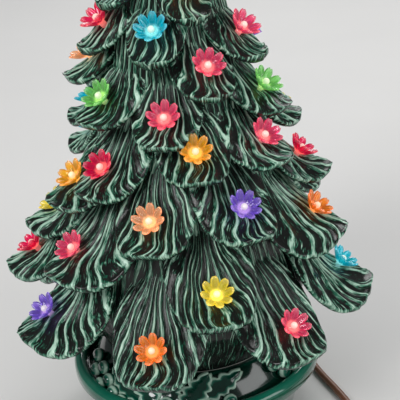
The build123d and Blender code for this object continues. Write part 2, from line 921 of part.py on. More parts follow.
with BuildPart() as switch_screw:
    with BuildSketch(wheel_plane.offset(axle_half)):
        with Locations(screw_spot):
            Circle(screw_r)
    extrude(amount=screw_floor - 2 * axle_half)
    with BuildSketch(wheel_plane.offset(axle_half)):
        with Locations(screw_spot):
            Circle(screw_head_r)
    extrude(amount=screw_head_height)
keep(switch_screw.part, "switch_screw")
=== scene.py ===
"""Glazed ceramic christmas tree with plug-in flower lights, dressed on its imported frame."""
import math

import bmesh
import bpy
import numpy as np
from bpy.props import FloatProperty, FloatVectorProperty, IntProperty, PointerProperty
from mathutils import Matrix, Vector


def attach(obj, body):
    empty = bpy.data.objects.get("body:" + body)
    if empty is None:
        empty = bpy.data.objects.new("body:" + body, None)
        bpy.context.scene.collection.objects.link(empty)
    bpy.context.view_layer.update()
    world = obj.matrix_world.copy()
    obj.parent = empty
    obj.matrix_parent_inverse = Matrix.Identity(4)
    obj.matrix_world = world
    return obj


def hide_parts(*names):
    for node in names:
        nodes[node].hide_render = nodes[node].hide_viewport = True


bl_info = {
    "name": "Ceramic Christmas Tree",
    "version": (1, 0, 0),
    "blender": (4, 5, 0),
    "location": "View3D > Sidebar > Ceramic Tree",
    "description": "Models the needle glaze, flower lights, holly base and cord of a ceramic tree",
    "category": "Object",
}

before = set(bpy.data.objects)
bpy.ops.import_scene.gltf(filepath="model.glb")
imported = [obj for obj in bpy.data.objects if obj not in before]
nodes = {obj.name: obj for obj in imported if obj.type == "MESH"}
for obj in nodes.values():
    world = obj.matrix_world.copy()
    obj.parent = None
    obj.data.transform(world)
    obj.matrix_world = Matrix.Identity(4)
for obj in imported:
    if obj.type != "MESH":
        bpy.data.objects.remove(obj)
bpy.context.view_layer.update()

# Lights by colour: azimuth from the front in degrees, height share
LIGHTS = {
    "red": (
        (-71, 0.661), (-91, 0.1), (91, 0.295), (-43, 0.368), (155, 0.49), (230, 0.152), (159, 0.755),
        (10, 0.93),
    ),
    "pink": (
        (60, 0.63), (21, 0.577), (-8, 0.483), (-55, 0.176), (48, 0.405), (36, 0), (228, 0.504),
        (195, 0.85),
    ),
    "orange": ((-15, 0), (74, 0.186), (195, 0.581), (231, 0.75), (280, 0.93)),
    "amber": ((7, 0.41), (-64, 0.323), (190.5, 0), (160, 0.651), (123, 0.85), (163, 0.117)),
    "peach": ((-16, 0.272), (-92, 0.57), (160, 0.309), (15, 0.735), (235, 1), (118, 0.204)),
    "yellow": ((9, 0.113), (-91, 0.207), (139, 0), (230, 0.658), (51, 0.85), (190, 0.93), (112, 0.396)),
    "green": ((-51, 0.511), (64, 0.5), (242, 0), (192, 0.42), (87, 0.75), (145, 1), (339, 0.85)),
    "cyan": ((-14.5, 0.658), (88, 0), (232, 0.337), (303, 0.76), (325, 1), (-122, 0.42)),
    "purple": ((26, 0.279), (-67.5, 0), (200, 0.239), (122, 0.56), (267, 0.85), (100, 0.93), (55, 1)),
}
ALL_LIGHTS = [place for places in LIGHTS.values() for place in places]
# Lights further out, by the share of the lowest seats' radius
REACH = {(-91, 0.1): 0.09}
# Clear plastic colours of the flowers
PLASTICS = {
    "red": (0.85, 0.01, 0.11), "pink": (0.90, 0.09, 0.22), "orange": (0.98, 0.30, 0.03),
    "amber": (0.98, 0.50, 0.03), "peach": (0.98, 0.50, 0.25), "yellow": (0.90, 0.75, 0.06),
    "green": (0.25, 0.68, 0.18), "cyan": (0.0, 0.60, 0.74), "purple": (0.27, 0.15, 0.72),
}
# Branches with one side wider: left share, right share
UNEVEN = {
    (88, 0): (1.7, 1.0), (74, 0.186): (1.9, 1.0), (-55, 0.176): (1.0, 1.5), (-67.5, 0): (1.0, 1.5),
}
# Branch groups and the highest height share in each
GROUPS = {"lower": 0.22, "middle": 0.45, "upper": 0.7, "top": 1.0}
MM = 0.001
# Least length that is divided by
TINY = 1e-6


def length(name, description, default):
    """Length property in metres."""
    return FloatProperty(name=name, description=description, default=default, unit="LENGTH")


def colour(name, description, default):
    """Colour property."""
    return FloatVectorProperty(name=name, description=description, default=default, subtype="COLOR")


class TreeSizes(bpy.types.PropertyGroup):
    """Sizes of the cast tree and its branches."""
    seat_low_r: length("Lowest seats", "Radius of the lowest light seats", 0.1037)
    seat_low_z: length("Lowest height", "Height of the lowest light seats", 0.099)
    seat_high_r: length("Highest seats", "Radius of the highest light seats", 0.015)
    seat_high_z: length("Highest height", "Height of the highest light seats", 0.386)
    run: length("Branch run", "Level length of a lowest branch", 0.070)
    drop: length("Branch drop", "Fall of a lowest branch from root to nose", 0.061)
    half_width: length("Half width", "Half width of a lowest branch", 0.0315)
    half_depth: length("Half thickness", "Half thickness of a lowest branch", 0.0112)
    hang: length("Hang", "Further fall of the upper branches' noses", 0.008)
    top_share: FloatProperty(
        name="Top size", description="Size of the highest branches against the lowest", default=0.42,
        subtype="FACTOR",
    )
    strands: IntProperty(name="Strands", description="Needle strands on a lowest branch", default=16)
    groove: length("Groove depth", "Depth of the grooves between strands", 0.0026)
    rim: length("Rim", "Height of the bead along the rim", 0.0009)
    trunk_strands: IntProperty(
        name="Trunk strands", description="Needle strands around the trunk", default=60
    )
    trunk_ridge: length("Trunk ridge", "Height of the trunk's strands", 0.0016)
    light_tilt: FloatProperty(
        name="Light tilt", description="Rise of the lights' pegs from level", default=math.radians(50),
        subtype="ANGLE",
    )


class FlowerSizes(bpy.types.PropertyGroup):
    """Sizes of a plug-in flower light."""
    radius: length("Radius", "Radius over the petals", 0.0095)
    lift: length("Lift", "Height of the cup's foot over the seat", 0.0025)
    height: length("Height", "Height of the petals over the cup's foot", 0.0065)
    foot_r: length("Foot", "Radius of the cup's foot", 0.0034)
    foot_height: length("Foot height", "Height of the cup's foot", 0.0018)
    ball_r: length("Ball", "Radius of the ball in the middle", 0.0022)
    ball_lift: length("Ball lift", "Height of the ball over the cup's foot", 0.0034)
    peg_r: length("Peg", "Radius of the peg", 0.0022)
    peg_length: length("Peg length", "Length of the peg in its hole", 0.0065)
    petal_wall: length("Petal wall", "Thickness of a petal", 0.0012)
    petals: IntProperty(name="Petals", description="Petals around the ball", default=8)


class BaseSizes(bpy.types.PropertyGroup):
    """Sizes of the dish base and its holly."""
    foot_r: length("Foot", "Outer radius of the foot", 0.070)
    foot_width: length("Foot width", "Width of the foot ring", 0.008)
    rim_r: length("Rim", "Radius of the rolled rim's middle", 0.0836)
    rim_z: length("Rim height", "Height of the rolled rim's middle", 0.0385)
    roll_r: length("Roll", "Radius of the rim's roll", 0.0045)
    groove_r: length("Groove", "Radius of the mound's foot", 0.076)
    groove_z: length("Groove height", "Height of the mound's foot", 0.0345)
    mound_r: length("Mound", "Radius of the mound's top", 0.062)
    mound_bulge: length("Bulge", "Bulge of the mound's slope", 0.0012)
    flare_sag: length("Flare sag", "Hollow of the dish's outer wall", 0.0028)
    seat_z: length("Seat", "Height of the seat under the tree", 0.056)
    lip_r: length("Lip", "Outer radius of the lip that centres the tree", 0.0547)
    lip_height: length("Lip height", "Height of the lip over the seat", 0.006)
    lip_width: length("Lip width", "Width of the lip", 0.005)
    bore_r: length("Bore", "Radius of the hole for the nipple", 0.0052)
    wall: length("Wall", "Wall of the casting", 0.007)
    leaf_length: length("Leaf length", "Length of a holly leaf", 0.036)
    leaf_width: length("Leaf width", "Width of a holly leaf", 0.020)
    leaf_wall: length("Leaf wall", "Thickness of a holly leaf", 0.0022)
    leaf_rib: length("Leaf rib", "Height of a leaf's middle rib", 0.0016)
    berry_r: length("Berry", "Radius of a holly berry", 0.0048)
    berry_lift: length("Berry lift", "Height of a berry's middle over the mound", 0.0045)


class CordSizes(bpy.types.PropertyGroup):
    """Sizes of the lamp cord."""
    radius: length("Radius", "Radius of the cord", 0.0026)
    coil_r: length("Coil", "Radius of the coil's outer turn", 0.0385)
    coil_step: length("Step", "Change of radius over half a turn", 0.0029)
    climb_step: length("Climb step", "Change of radius before the climb", 0.0044)
    coil_layer: length("Layer", "Rise from the lower to the upper layer", 0.0058)
    coil_tail: length("Tail", "Straight length from the coil to the plug", 0.032)


class GlazeColours(bpy.types.PropertyGroup):
    """Colours of the glazes and the stage."""
    groove: colour("Groove", "Glaze in the grooves", (0.010, 0.0115, 0.010))
    flank: colour("Flank", "Glaze on the flanks of the strands", (0.010, 0.125, 0.068))
    crest: colour("Crest", "Pale glaze brushed on the crests", (0.50, 0.73, 0.58))
    emerald: colour("Emerald", "Glaze of the dish", (0.0, 0.105, 0.062))
    floor: colour("Floor", "Pale floor", (0.72, 0.71, 0.69))


def settings():
    """Property groups of the scene."""
    return bpy.context.scene


def smooth(low, high, values):
    """Smooth step from 0 at low to 1 at high."""
    share = np.clip((values - low) / (high - low), 0, 1)
    return share * share * (3 - 2 * share)


def times(rgb, factor, more=0.0):
    """Colour times a factor, with some white."""
    return tuple(factor * part + more for part in rgb)


def around(azimuth, radius, height):
    """Point at an azimuth in degrees from the front, a radius and a height."""
    angle = math.radians(azimuth)
    return Vector((radius * math.sin(angle), -radius * math.cos(angle), height))


def seat_of(place):
    """Radius and height of a light seat."""
    tree, share = settings().tree_sizes, place[1]
    radius = tree.seat_low_r * (1 + REACH.get(place, 0)) + share * (tree.seat_high_r - tree.seat_low_r)
    return radius, tree.seat_low_z + share * (tree.seat_high_z - tree.seat_low_z)


def light_matrix(place):
    """Stand of a light: Z along its peg, X level."""
    tilt, azimuth = settings().tree_sizes.light_tilt, place[0]
    radius, height = seat_of(place)
    facing = around(azimuth, math.cos(tilt), math.sin(tilt))
    angle = math.radians(azimuth)
    level = Vector((math.cos(angle), math.sin(angle), 0))
    turn = Matrix((level, facing.cross(level), facing)).transposed().to_4x4()
    return Matrix.Translation(around(azimuth, radius, height)) @ turn


# Outline of the cast core: heights and radii
CORE_Z = (0.056, 0.092, 0.104, 0.404, 0.415)
CORE_R = (0.060, 0.077, 0.077, 0.009, 0.009)
# Depth to which a branch's root enters the core
ROOT_BITE = 0.001


def core_radius(height):
    """Outer radius of the core at a height."""
    return np.interp(height, CORE_Z, CORE_R)


def mesh_of(name, bm):
    """Turns a bmesh into a mesh."""
    mesh = bpy.data.meshes.new(name)
    bm.to_mesh(mesh)
    bm.free()
    return mesh


def add_object(name, data):
    """Object in the scene."""
    thing = bpy.data.objects.new(name, data)
    bpy.context.scene.collection.objects.link(thing)
    return thing


def add_grid(bm, across, along):
    """Flat grid from -1 to 1; gives its vertices."""
    return bmesh.ops.create_grid(bm, x_segments=across, y_segments=along, size=1)["verts"]


def set_strands(bm, points, pale, strand):
    """Places the vertices of a needle grid and gives them their tone and strand."""
    crest_layer = bm.verts.layers.float.new("crest")
    strand_layer = bm.verts.layers.float_vector.new("strand")
    for vert, point, tone, line in zip(bm.verts, points, pale, strand):
        vert.co = point
        vert[crest_layer] = tone
        vert[strand_layer] = line


def finish_piece(name, bm, body, replaced, materials):
    """Turns a bmesh into a piece that rides on a body."""
    mesh = mesh_of(name, bm)
    for material in materials:
        mesh.materials.append(material)
    mesh.shade_smooth()
    piece = add_object(name, mesh)
    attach(piece, body)
    if replaced:
        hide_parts(*replaced)
    return piece


def dress(material, *names):
    """Gives nodes of the frame their finish."""
    for name in names:
        nodes[name].data.materials.clear()
        nodes[name].data.materials.append(material)


def new_material(name, rough, **sockets):
    """Material with constants on its principled shader; gives its node graph too."""
    material = bpy.data.materials.new(name)
    material.use_nodes = True
    inputs = shader_inputs(material.node_tree)
    inputs["Roughness"].default_value = rough
    for socket, value in sockets.items():
        inputs[socket.replace("_", " ")].default_value = value
    return material, material.node_tree


def shader_inputs(graph):
    """Sockets of a material's principled shader."""
    return graph.nodes["Principled BSDF"].inputs


def new_node(graph, kind, **sockets):
    """Shader node with constants on its sockets."""
    node = graph.nodes.new("ShaderNode" + kind)
    for socket, value in sockets.items():
        node.inputs[socket].default_value = value
    return node


def attribute(graph, name, output="Fac"):
    """Reads an attribute of the mesh."""
    node = new_node(graph, "Attribute")
    node.attribute_name = name
    return node.outputs[output]


def math_node(graph, operation, first, second, third=None, clamp=False):
    """Math on links or constants; gives its output."""
    node = new_node(graph, "Math")
    node.operation = operation
    node.use_clamp = clamp
    for socket, value in zip(node.inputs, (first, second, third)):
        if isinstance(value, bpy.types.NodeSocket):
            graph.links.new(value, socket)
        elif value is not None:
            socket.default_value = value
    return node.outputs[0]


def ramp_into(graph, source, stops, *sockets):
    """Leads a value through a ramp of (place, colour) stops to the shader's sockets."""
    ramp = new_node(graph, "ValToRGB")
    while len(ramp.color_ramp.elements) < len(stops):
        ramp.color_ramp.elements.new(0.5)
    for element, (place, rgb) in zip(ramp.color_ramp.elements, stops):
        element.position = place
        element.color = (*rgb, 1)
    graph.links.new(source, ramp.inputs["Fac"])
    for socket in sockets:
        graph.links.new(ramp.outputs["Color"], shader_inputs(graph)[socket])


def bump_from(graph, source, strength, distance):
    """Bump of the given height on the shader."""
    bump = new_node(graph, "Bump", Strength=strength, Distance=distance)
    graph.links.new(source, bump.inputs["Height"])
    graph.links.new(bump.outputs["Normal"], shader_inputs(graph)["Normal"])


def grain_bump(graph, scale, strength, distance):
    """Fine noise bump on Object coordinates; gives the noise."""
    place = new_node(graph, "TexCoord")
    noise = new_node(graph, "TexNoise", Scale=scale, Detail=4)
    graph.links.new(place.outputs["Object"], noise.inputs["Vector"])
    bump_from(graph, noise.outputs["Fac"], strength, distance)
    return noise.outputs["Fac"]


def plain_finish(name, rgb, rough, metal=0.0, scale=400.0, spread=0.25, depth=0.00005, **sockets):
    """Finish with a slight change of colour and a fine grain."""
    material, graph = new_material(name, rough, Metallic=metal, **sockets)
    noise = grain_bump(graph, scale, 0.25, depth)
    stops = ((0.3, times(rgb, 1 - spread)), (0.7, rgb))
    ramp_into(graph, noise, stops, "Base Color")
    return material


def strand_noise(graph, strand, stretch, **sockets):
    """Noise drawn out along the strands: across, along and by branch."""
    mapping = new_node(graph, "Mapping", Scale=stretch)
    noise = new_node(graph, "TexNoise", Scale=1.0, **sockets)
    graph.links.new(strand, mapping.inputs["Vector"])
    graph.links.new(mapping.outputs["Vector"], noise.inputs["Vector"])
    return noise.outputs["Fac"]


def needle_glaze():
    """Glossy dark glaze with pale crests that follow the strands."""
    if "needle_glaze" in bpy.data.materials:
        return bpy.data.materials["needle_glaze"]
    colours = settings().glaze_colours
    material, graph = new_material(
        "needle_glaze", 0.17, Coat_Weight=0.12, Coat_Roughness=0.05, IOR=1.42, Specular_IOR_Level=0.36
    )
    crest = attribute(graph, "crest")
    strand = attribute(graph, "strand", "Vector")
    streaks = strand_noise(graph, strand, (6.0, 0.8, 7.0), Detail=3, Roughness=0.6, Distortion=0.4)
    patches = strand_noise(graph, strand, (0.7, 0.12, 3.0), Detail=2)
    threads = strand_noise(graph, strand, (15.0, 0.7, 7.0), Detail=2, Distortion=0.6)
    lines = math_node(graph, "MULTIPLY_ADD", streaks, 1.9, -1.0)
    worn = math_node(graph, "MULTIPLY_ADD", patches, 1.0, -0.5)
    hairs = math_node(graph, "MULTIPLY_ADD", threads, 3.4, -1.8, clamp=True)
    tone = math_node(graph, "ADD", lines, worn)
    marks = math_node(graph, "ADD", tone, hairs)
    total = math_node(graph, "ADD", crest, marks, clamp=True)
    mid = tuple(0.55 * a + 0.45 * b for a, b in zip(colours.flank, colours.crest))
    stops = (
        (0.0, tuple(colours.groove)), (0.26, tuple(colours.groove)), (0.42, tuple(colours.flank)),
        (0.68, mid), (0.92, tuple(colours.crest)),
    )
    ramp_into(graph, total, stops, "Base Color")
    bump_from(graph, streaks, 0.6, 0.0009)
    return material


def emerald_glaze(name, lift=1.0):
    """Glossy emerald glaze, darker where edge is low and pale at worn edges where edge is high; its
    darkest tone on the dish's seat and mound is painted shade.
    """
    colours = settings().glaze_colours
    material, graph = new_material(name, 0.12, Coat_Weight=0.5, Coat_Roughness=0.04, IOR=1.52)
    edge = attribute(graph, "edge")
    noise = grain_bump(graph, 55.0, 0.12, 0.0008)
    mix = math_node(graph, "MULTIPLY_ADD", noise, 0.35, edge)
    bright = times(colours.emerald, lift)
    # The darkest stop, reached where edge is low, is painted shade on the dish's seat and mound.
    stops = (
        (0.08, times(colours.emerald, 0.16, 0.001)), (0.32, bright), (0.62, times(bright, 1.5, 0.02)),
        (0.98, times(colours.crest, 0.8)),
    )
    ramp_into(graph, mix, stops, "Base Color")
    return material


# Fall of a branch's top along its run, from the buried root to past the nose
FALL_RUNS = (0, 0.25, 0.46, 0.66, 0.88, 1.0, 1.08)
FALL_DROPS = (0, 0.33, 0.63, 0.85, 0.955, 1.0, 1.035)
FALL = np.polynomial.Polynomial.fit(FALL_RUNS, FALL_DROPS, 4)
FALL_SLOPE = FALL.deriv()
# Places along the run; the noses of higher branches reach further
SEAT_RUN, WIDE_RUN, NOSE_RUN, NOSE_MORE = 0.66, 0.44, 1.0, 0.07
# Where the root is looked for along the run
ROOT_SCAN = np.linspace(0.1, 0.6, 60)
# Share of the rim that goes round the nose
NOSE_SHARE = 0.74
# Fullness of a branch's section and of its nose
FULLNESS = 2.6
# Grid of a branch, and the row where its top turns under
STRAND_COLUMNS, BRANCH_ROWS, TURN_ROW = 6, 36, 0.52
FEWEST_STRANDS = 8
# Waves of the strands: size, turns from root to rim, lean across
WAVES = ((0.09, 0.8, 2), (0.03, 2.3, -5))
# Room kept round a light, and how deep in it a branch is pressed down
ROOM_GAP, CUP_FOOT, CUP_RISE, ROOM_HEIGHT, PRESS_DEPTH = 0.0008, 0.0012, 0.0038, 0.0125, 0.0055
# Distance within which a light can meet a branch
LIGHT_NEAR = 0.12


class BranchShape:
    """Line, width and thickness of one branch along its run."""

    def __init__(self, place):
        share = place[1]
        self.tree = settings().tree_sizes
        self.size = 1 - share * (1 - self.tree.top_share)
        self.seat_r, self.seat_z = seat_of(place)
        self.nose_run = NOSE_RUN + NOSE_MORE * float(smooth(0.1, 0.25, share))
        outside = self.out(ROOT_SCAN) - core_radius(self.top(ROOT_SCAN)) + ROOT_BITE
        self.root_run = float(ROOT_SCAN[np.argmax(outside > 0)])
        self.width = self.tree.half_width * self.size
        self.nose = self.nose_run - WIDE_RUN
        self.hang = self.tree.hang * float(smooth(0.45, 0.66, share))

    def out(self, run):
        """Radius of the branch's top."""
        return self.seat_r + (run - SEAT_RUN) * self.tree.run * self.size

    def top(self, run):
        """Height of the branch's top."""
        return self.seat_z - (FALL(run) - FALL(SEAT_RUN)) * self.tree.drop * self.size

    def half_width(self, run):
        """Half width, narrow at the root and round at the nose."""
        back = np.clip((WIDE_RUN - run) / (WIDE_RUN - self.root_run), 0, 1)
        ahead = np.clip((run - WIDE_RUN) / self.nose, 0, 1)
        return self.width * np.where(run < WIDE_RUN, 1 - 0.5 * back ** 1.5, np.sqrt(1 - ahead ** 2))

    def half_depth(self, run):
        """Half thickness, fullest at the light's seat."""
        back = np.clip((SEAT_RUN - run) / SEAT_RUN, 0, 1)
        ahead = np.clip((run - SEAT_RUN) / (self.nose_run - SEAT_RUN), 0, 1)
        shares = np.where(run < SEAT_RUN, 1 - 0.4 * back ** 1.3, (1 - ahead ** FULLNESS) ** 0.5)
        return self.tree.half_depth * self.size * shares

    def rim(self, u):
        """Run and half width of the rim at a place across, from -1 to 1."""
        side = np.abs(u)
        psi = np.clip(side / NOSE_SHARE, 0, 1) * np.pi / 2
        along = np.clip((side - NOSE_SHARE) / (1 - NOSE_SHARE), 0, 1)
        on_nose = side < NOSE_SHARE
        beside = WIDE_RUN - along * (WIDE_RUN - self.root_run)
        run = np.where(on_nose, WIDE_RUN + self.nose * np.cos(psi), beside)
        return run, np.sign(u) * np.where(on_nose, self.width * np.sin(psi), self.half_width(run))


def fan_rows(v):
    """Share from root to rim of each row, and which rows are underneath."""
    down = np.clip((v + 1) / (1 + TURN_ROW), 0, 1)
    under = np.clip((v - TURN_ROW) / (1 - TURN_ROW), 0, 1)
    below = v > TURN_ROW
    return np.where(below, 1 - under ** 1.3, 1 - (1 - down) ** 1.5), below


def leave_light_room(points, own):
    """Moves a branch's points out of the lights' room: down under a cup, or aside."""
    flower = settings().flower_sizes
    room = flower.radius + ROOM_GAP
    for place in ALL_LIGHTS:
        matrix = light_matrix(place)
        seat = np.array(matrix.translation)
        if np.linalg.norm(seat - points.mean(0)) > LIGHT_NEAR:
            continue
        axis = np.array(matrix.to_3x3().col[2])
        away = points - seat
        lift = away @ axis
        radial = away - lift[:, None] * axis
        far = np.linalg.norm(radial, axis=1)
        cup = CUP_FOOT + np.clip((far - flower.foot_r) / (flower.radius - flower.foot_r), 0, 1) * CUP_RISE
        inside = (far < room) & (lift > cup) & (lift < ROOM_HEIGHT)
        press = inside & ((lift - cup < PRESS_DEPTH) | (place == own))
        aside = inside & ~press
        points[press] -= ((lift - cup)[:, None] * axis)[press]
        points[aside] += (radial * ((room - far) / np.maximum(far, TINY))[:, None])[aside]


def branch_grid(bm, place, seed):
    """One drooping branch: a grid fanned from root to rim over the top and back underneath."""
    tree = settings().tree_sizes
    shape = BranchShape(place)
    size = shape.size
    strands = max(FEWEST_STRANDS, int(round(tree.strands * size ** 0.55)))
    flat = np.array([vert.co for vert in add_grid(bm, strands * STRAND_COLUMNS, BRANCH_ROWS)])
    tau, below = fan_rows(flat[:, 1])
    rng = np.random.default_rng(seed)
    phase = rng.uniform(0, 1, 6)
    heights = rng.uniform(0.6, 1.1, strands + 1)
    widths = np.cumsum(np.concatenate(([0], rng.uniform(0.4, 1.6, strands))))
    starts = rng.uniform(0.05, 0.5, strands + 1) * (np.arange(strands + 1) % 2)
    # Strands of uneven width: waved lines from the root to the rim
    line = strands * (flat[:, 0] + 1) / 2
    even = np.interp(line, np.arange(strands + 1), widths / widths[-1] * 2 - 1)
    wave = 0
    for start, (swing, turns, lean) in zip(phase, WAVES):
        wave = wave + swing * np.sin(2 * np.pi * (turns * tau + start) + lean * even)
    u = even + wave * (1 - np.abs(even))
    nearest = np.round(line).astype(int)
    crest = 1 - 2 * np.abs(line - nearest)
    begin = starts[nearest]
    strong = heights[nearest] * (0.25 + 0.75 * smooth(begin - 0.05, begin + 0.2, tau))
    scallop = np.sqrt(np.clip(1 - crest, 0, 1))
    # From the root's line to the rim
    rim_run, rim_x = shape.rim(u)
    reach_share = 1 + 0.02 * (scallop - 0.6) * smooth(0.7, 1, tau)
    root_x = shape.half_width(np.array(shape.root_run)) * u
    x = root_x + (rim_x - root_x) * tau ** 1.2 * reach_share
    run = shape.root_run + (rim_run - shape.root_run) * tau * reach_share
    spread = np.clip(np.abs(x) / np.maximum(shape.half_width(run), TINY), 0, 1)
    fallen = shape.hang * smooth(0.5, 1.1, run) * (1 - 0.5 * spread ** 2)
    left, right = UNEVEN.get(place, (1, 1))
    x = np.where(x < 0, left * x, right * x)
    # Grooves between the strands fade towards the root and close at the rim
    fade = (0.4 + 0.6 * smooth(0.02, 0.25, tau)) * (1 - 0.85 * smooth(0.9, 1, tau))
    depth = tree.groove * size ** 0.6 * fade
    relief = np.where(below, 0, depth * (crest ** 2.6 * strong - 0.7))
    relief += tree.rim * smooth(0.94, 1, tau) * (~below)
    # Off the branch's line, square to its slope
    slope = np.arctan2(-FALL_SLOPE(run) * tree.drop, tree.run)
    thick = shape.half_depth(run)
    rise = thick * (1 - spread ** FULLNESS) ** 0.5
    high = np.where(below, -0.35 * rise, rise) + relief - thick
    radius = shape.out(run) - high * np.sin(slope)
    height = shape.top(run) + high * np.cos(slope) - fallen
    angle = math.radians(place[0])
    ahead = np.array((math.sin(angle), -math.cos(angle), 0))
    level = np.array((math.cos(angle), math.sin(angle), 0))
    points = radius[:, None] * ahead + x[:, None] * level + height[:, None] * np.array((0, 0, 1))
    # Nothing reaches through the core's wall
    flat_r = np.hypot(points[:, 0], points[:, 1])
    least = core_radius(points[:, 2]) - ROOT_BITE
    points[:, :2] *= np.maximum(1, least / np.maximum(flat_r, TINY))[:, None]
    leave_light_room(points, place)
    pale = np.where(below, 0.1, crest ** 3 * (0.3 + 0.7 * strong))
    pale = np.maximum(pale, 0.56 * smooth(0.978, 0.995, tau))
    set_strands(bm, points, pale, zip(line, tau * 10 * size, [seed] * len(line)))
    bmesh.ops.remove_doubles(bm, verts=list(bm.verts), dist=0.00002)
    open_edges = [edge for edge in bm.edges if edge.is_boundary]
    bmesh.ops.holes_fill(bm, edges=open_edges, sides=0)


class CERAMIC_OT_branches(bpy.types.Operator):
    """Model the needle-ridged branches of the tree, in the frame's groups"""
    bl_idname = "ceramic.branches"
    bl_label = "Branches"

    def execute(self, context):
        low = -1.0
        for group, high in GROUPS.items():
            bm = bmesh.new()
            for seed, place in enumerate(ALL_LIGHTS):
                if low < place[1] <= high:
                    part = bmesh.new()
                    branch_grid(part, place, seed)
                    bmesh.ops.recalc_face_normals(part, faces=part.faces)
                    mesh = mesh_of("branch", part)
                    bm.from_mesh(mesh)
                    bpy.data.meshes.remove(mesh)
            low = high
            name = "branches_" + group
            finish_piece("needle_" + name, bm, "tree", [name], [needle_glaze()])
        return {"FINISHED"}


# Trunk's grid, gap over the core and height kept from its ends
TRUNK_COLUMNS, TRUNK_ROWS, TRUNK_GAP, TRUNK_END = 5, 90, 0.0003, 0.001
# Core radius below which the trunk's strands get flatter, and the least share left
TRUNK_FADE_R, TRUNK_FADE_LEAST = 0.03, 0.15


class CERAMIC_OT_trunk(bpy.types.Operator):
    """Model the ridged cone that shows between the branches, and finish the core"""
    bl_idname = "ceramic.trunk"
    bl_label = "Trunk"

    def execute(self, context):
        tree = settings().tree_sizes
        strands = tree.trunk_strands
        bm = bmesh.new()
        flat = np.array([vert.co for vert in add_grid(bm, strands * TRUNK_COLUMNS, TRUNK_ROWS)])
        turn, share = (flat[:, 0] + 1) / 2, (flat[:, 1] + 1) / 2
        height = CORE_Z[0] + TRUNK_END + share * (CORE_Z[-1] - CORE_Z[0] - 2 * TRUNK_END)
        wave = 0.35 * np.sin(2 * np.pi * (4 * share + 3 * turn))
        wave = wave + 0.2 * np.sin(2 * np.pi * (9 * share + 7 * turn))
        line = strands * turn + wave
        crest = 1 - 2 * np.abs(line - np.round(line))
        core = core_radius(height)
        fade = np.clip(core / TRUNK_FADE_R, TRUNK_FADE_LEAST, 1)
        fade = fade * smooth(0, 0.02, share) * smooth(0, 0.02, 1 - share)
        radius = core + TRUNK_GAP + tree.trunk_ridge * fade * crest ** 1.4
        angle = turn * 2 * np.pi
        # Crests fade out over the lowest share of the trunk: painted shade under the lowest branches.
        pale = 0.75 * crest ** 2 * smooth(0.06, 0.22, share)
        points = zip(radius * np.sin(angle), -radius * np.cos(angle), height)
        set_strands(bm, points, pale, zip(line, share * 40, [99] * len(line)))
        bmesh.ops.remove_doubles(bm, verts=bm.verts, dist=0.00001)
        bmesh.ops.recalc_face_normals(bm, faces=bm.faces)
        finish_piece("needle_trunk", bm, "tree", (), [needle_glaze()])
        dress(plain_finish("cast_clay", (0.62, 0.60, 0.55), 0.75, scale=300, depth=0.0002), "tree_shell")
        return {"FINISHED"}


def flower_plastic(name):
    """Clear coloured plastic, lit from its foot."""
    rgb = PLASTICS[name]
    material, graph = new_material(
        "flower_" + name, 0.08, IOR=1.49, Coat_Weight=0.4, Emission_Strength=0.4,
        Transmission_Weight=0.75,
    )
    glow = attribute(graph, "glow")
    tip = times(rgb, 0.75, 0.2)
    foot = tuple(min(1.0, 0.7 * part + pale) for part, pale in zip(rgb, (0.30, 0.24, 0.14)))
    body = ((0.0, tip), (0.2, rgb), (0.65, times(rgb, 0.8)), (1.0, foot))
    ramp_into(graph, glow, body, "Base Color")
    dim = times(rgb, 0.3)
    light = ((0.0, times(tip, 0.4)), (0.2, dim), (0.6, dim), (0.85, foot))
    ramp_into(graph, glow, light, "Emission Color")
    return material


def ball_plastic(name):
    """Ball in the middle, brighter and paler than the petals."""
    pale = times(PLASTICS[name], 0.35, 0.62)
    warm = (pale[0], pale[1] * 0.96, pale[2] * 0.78)
    material, graph = new_material("ball_" + name, 0.12, Emission_Strength=0.5, Coat_Weight=0.3)
    noise = grain_bump(graph, 300.0, 0.1, 0.0002)
    stops = ((0.3, times(warm, 0.85)), (0.7, warm))
    ramp_into(graph, noise, stops, "Base Color", "Emission Color")
    return material


# Petal: half width at its foot and more in its middle, widest share, cupping, rise
PETAL_FOOT, PETAL_MORE, PETAL_WIDE, PETAL_CUP, PETAL_LIFT = 0.0009, 0.0012, 0.76, 0.0011, 0.0006
# Turn from each flower of a colour to the next
FLOWER_TURN = 0.35


